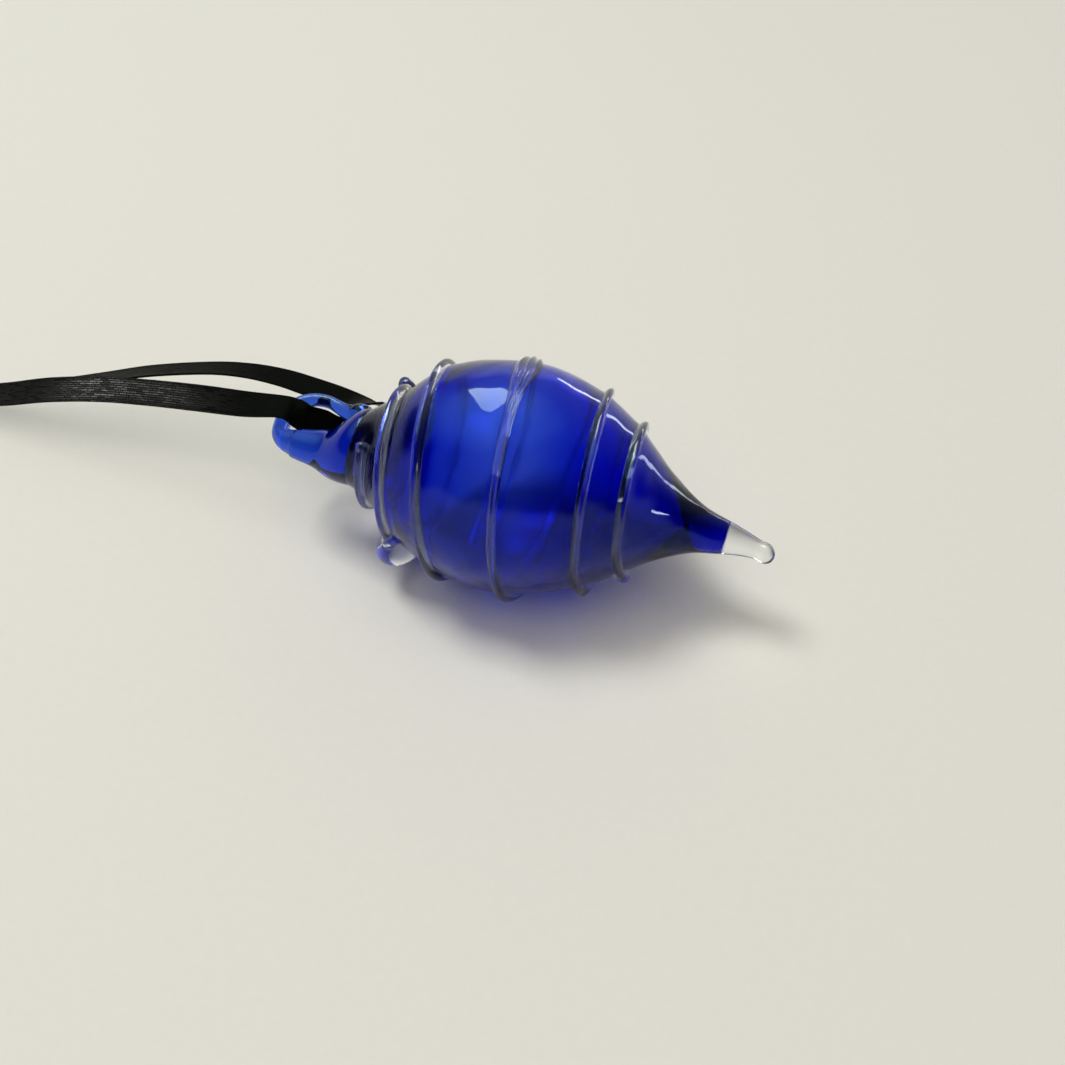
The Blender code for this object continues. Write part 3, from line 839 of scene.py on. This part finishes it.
def make_ribbon():
    """The two strands, the knot and the tails."""
    extras = [make_knot()]
    dress(extras[0], "ribbon", "ribbon_knot")
    for tail, points in (("long_tail", LONG_TAIL), ("short_tail", SHORT_TAIL)):
        extras.append(add_satin("satin_" + tail, strip_shape(*strip_line(points, TAIL_STEPS))))
        dress(extras[-1], "ribbon", "ribbon_" + tail)
    front = strip_line(FRONT_STRAND + BACK_STRAND[:2], STRAND_STEPS)
    back = strip_line(BACK_STRAND, STRAND_STEPS)
    front_path = front[0][:-STRAND_STEPS][::-1]
    for name, line, path, pieces in (("front", front, front_path, extras), ("back", back, back[0], [])):
        piece = add_satin("satin_" + name, strip_shape(*line))
        dress(piece, "ribbon", "ribbon_" + name + "_strand")


def direction(azimuth, elevation):
    """A unit vector: azimuth from +Y towards +X, elevation over the horizon, in degrees."""
    a, e = math.radians(azimuth), math.radians(elevation)
    return Vector((math.sin(a) * math.cos(e), math.cos(a) * math.cos(e), math.sin(e)))


# The point that every lamp faces
LAMP_AIM = Vector((0, 0, 0.014))


def soft_box(name, azimuth, elevation, distance, width, height, radiance, colour):
    """A rectangular lamp that faces the ornament, with a given brightness of its face."""
    lamp = bpy.data.lights.new(name, "AREA")
    lamp.shape = "RECTANGLE"
    lamp.size, lamp.size_y = width, height
    lamp.energy = radiance * math.pi * width * height
    lamp.color = colour
    made = bpy.data.objects.new(name, lamp)
    away = direction(azimuth, elevation)
    made.location = LAMP_AIM + away * distance
    made.rotation_euler = away.to_track_quat("Z", "Y").to_euler()
    made.visible_camera = False
    bpy.context.scene.collection.objects.link(made)
    return made


PALE = (0.75, 0.74, 0.67, 1)
TABLE_DARKEST = (0.735, 0.725, 0.645, 1)
TABLE_LIGHTEST = (0.765, 0.755, 0.675, 1)
TABLE_HALF_SIDE = 3.0
# How far from the middle the table begins to turn into the plain backdrop, and where it has done so
FADE_START, FADE_END = 0.32, 0.72

# Lamps: azimuth, elevation, distance, width, height, brightness of the face and colour
KEY = (-80, 66, 0.9, 0.30, 0.30, 15.5, (0.98, 0.99, 1.0))
CEILING = (170, 78, 1.4, 1.6, 1.6, 1.42, (1.0, 0.96, 0.93))
WINDOW = (-28, 54, 0.8, 0.28, 0.50, 9.6, (0.95, 1.0, 0.68))
BACK_STRIP = (22, 7, 0.9, 0.80, 0.06, 8.0, (1.0, 0.97, 0.92))
SIDE_PANE = (99.5, 17, 0.7, 0.05, 0.07, 24.0, (1.0, 0.85, 0.6))
SATIN_LAMP = (-104.5, 28, 1.5, 0.26, 0.20, 88.0, (1.0, 1.0, 0.97))

# Room: where each glow lies, the cosines it starts and ends at, its strength at each and its colour
ROOM_GLOW = (direction(0, 15), 0.15, 0.95, 0.03, 0.40, (0.97, 0.97, 1.0, 1))
SKY_GLOW = (direction(-50, 68), 0.72, 1.0, 0.0, 1.6, (0.55, 1.0, 0.85, 1))
# The backdrop ends between these two heights on the unit sphere
BACKDROP_FULL, BACKDROP_GONE = 0.16, 0.34


def seen_rays(add):
    """1 for rays that look: from the camera, mirrored or passed through glass."""
    path = add("ShaderNodeLightPath").outputs
    looking = path["Is Camera Ray"]
    for ray in ("Is Glossy Ray", "Is Transmission Ray"):
        looking = add("ShaderNodeMath", {0: looking, 1: path[ray]}, operation="MAXIMUM").outputs[0]
    return looking


def make_table():
    """The pale table, which turns into the backdrop's plain colour far out."""
    made, add = new_material("pale_table")
    place = add("ShaderNodeTexCoord").outputs["Object"]
    grain = add("ShaderNodeTexNoise", {"Vector": place, "Scale": 900.0, "Detail": 3.0})
    shade = add("ShaderNodeMix", {"Factor": grain.outputs["Fac"], "A": TABLE_DARKEST, "B": TABLE_LIGHTEST},
                data_type="RGBA")
    body = add("ShaderNodeBsdfPrincipled", {"Base Color": shade.outputs["Result"], "Roughness": 0.75,
                                            "Specular IOR Level": 0.2})
    away = add("ShaderNodeVectorMath", {0: place}, operation="LENGTH")
    far = add("ShaderNodeMapRange", {"Value": away.outputs["Value"], "From Min": FADE_START,
                                     "From Max": FADE_END}, interpolation_type="SMOOTHSTEP")
    shown = add("ShaderNodeMath", {0: far.outputs["Result"], 1: seen_rays(add)}, operation="MULTIPLY")
    pale = add("ShaderNodeEmission", {"Color": PALE, "Strength": 1.0})
    mix = add("ShaderNodeMixShader", {0: shown.outputs[0], 1: body.outputs[0], 2: pale.outputs[0]})
    add("ShaderNodeOutputMaterial", {"Surface": mix.outputs[0]})
    side = TABLE_HALF_SIDE
    floor = add_mesh("table", [(-side, -side, 0), (side, -side, 0), (side, side, 0), (-side, side, 0)],
                     [(0, 1, 2, 3)], made)


def make_stage():
    """The pale table, the soft lamps and the room's own light."""
    make_table()
    glass_pieces = bpy.data.collections["glass_pieces"]
    ribbon_pieces = bpy.data.collections["ribbon_pieces"]
    key = soft_box("key", *KEY)
    key.visible_glossy = False
    key.light_linking.blocker_collection = glass_pieces
    ceiling = soft_box("ceiling", *CEILING)
    ceiling.visible_glossy = False
    window = soft_box("window", *WINDOW)
    window.visible_diffuse = False
    window.light_linking.receiver_collection = glass_pieces
    back_strip = soft_box("back_strip", *BACK_STRIP)
    back_strip.visible_diffuse = False
    side_pane = soft_box("side_pane", *SIDE_PANE)
    side_pane.visible_diffuse = False
    satin_lamp = soft_box("satin_lamp", *SATIN_LAMP)
    satin_lamp.light_linking.receiver_collection = ribbon_pieces
    make_world()


def make_world():
    """The room: a glow behind the ornament, a patch of sky in its gleams and a pale backdrop low down."""
    world = bpy.data.worlds.new("room")
    bpy.context.scene.world = world
    add = node_adder(world)
    way = add("ShaderNodeTexCoord").outputs["Generated"]

    def glow_strength(toward, start, end, least, most):
        near = add("ShaderNodeVectorMath", {0: way, 1: toward}, operation="DOT_PRODUCT")
        level = add("ShaderNodeMapRange", {"Value": near.outputs["Value"], "From Min": start, "From Max": end,
                                           "To Min": least, "To Max": most}, interpolation_type="SMOOTHSTEP")
        return level.outputs["Result"]

    room = add("ShaderNodeBackground", {"Color": ROOM_GLOW[-1], "Strength": glow_strength(*ROOM_GLOW[:-1])})
    path = add("ShaderNodeLightPath").outputs
    mirrored = add("ShaderNodeMath", {0: path["Is Glossy Ray"], 1: path["Is Transmission Ray"]},
                   operation="SUBTRACT", use_clamp=True)
    gleam = add("ShaderNodeMath", {0: glow_strength(*SKY_GLOW[:-1]), 1: mirrored.outputs[0]},
                operation="MULTIPLY")
    sky = add("ShaderNodeBackground", {"Color": SKY_GLOW[-1], "Strength": gleam.outputs[0]})
    both = add("ShaderNodeAddShader", {0: room.outputs[0], 1: sky.outputs[0]})
    height = add("ShaderNodeSeparateXYZ", {0: way}).outputs["Z"]
    low = add("ShaderNodeMapRange", {"Value": height, "From Min": BACKDROP_FULL, "From Max": BACKDROP_GONE,
                                     "To Min": 1.0, "To Max": 0.0}, interpolation_type="SMOOTHSTEP")
    backdrop = add("ShaderNodeMath", {0: seen_rays(add), 1: low.outputs["Result"]}, operation="MULTIPLY")
    pale = add("ShaderNodeBackground", {"Color": PALE})
    shown = add("ShaderNodeMixShader", {0: backdrop.outputs[0], 1: both.outputs[0], 2: pale.outputs[0]})
    add("ShaderNodeOutputWorld", {"Surface": shown.outputs[0]})


def make_camera():
    """The photograph's own camera."""
    a, e = CAMERA_AZIMUTH, CAMERA_ELEVATION
    back = Vector((math.sin(a) * math.cos(e), -math.cos(a) * math.cos(e), math.sin(e)))
    right = Vector((math.cos(a), math.sin(a), 0))
    up = back.cross(right)
    data = bpy.data.cameras.new("camera")
    data.sensor_width = SENSOR_MM
    data.lens = SENSOR_MM * FOCAL_PIXELS / IMAGE_SIDE
    data.clip_start = NEAREST_SEEN
    made = bpy.data.objects.new("camera", data)
    turn = Matrix((right, up, back)).transposed()
    made.matrix_world = Matrix.Translation(CAMERA_PLACE) @ turn.to_4x4()
    bpy.context.scene.collection.objects.link(made)
    bpy.context.scene.camera = made


bpy.context.scene.view_settings.view_transform = "Standard"
make_camera()
make_ribbon()
dress(make_bulb(), "glass", "bulb_shell")
dress(make_tip(), "glass", "clear_tip")
dress(make_thread(), "glass", "spiral_thread")
dress(make_loop(), "glass", "hanging_loop")
make_stage()
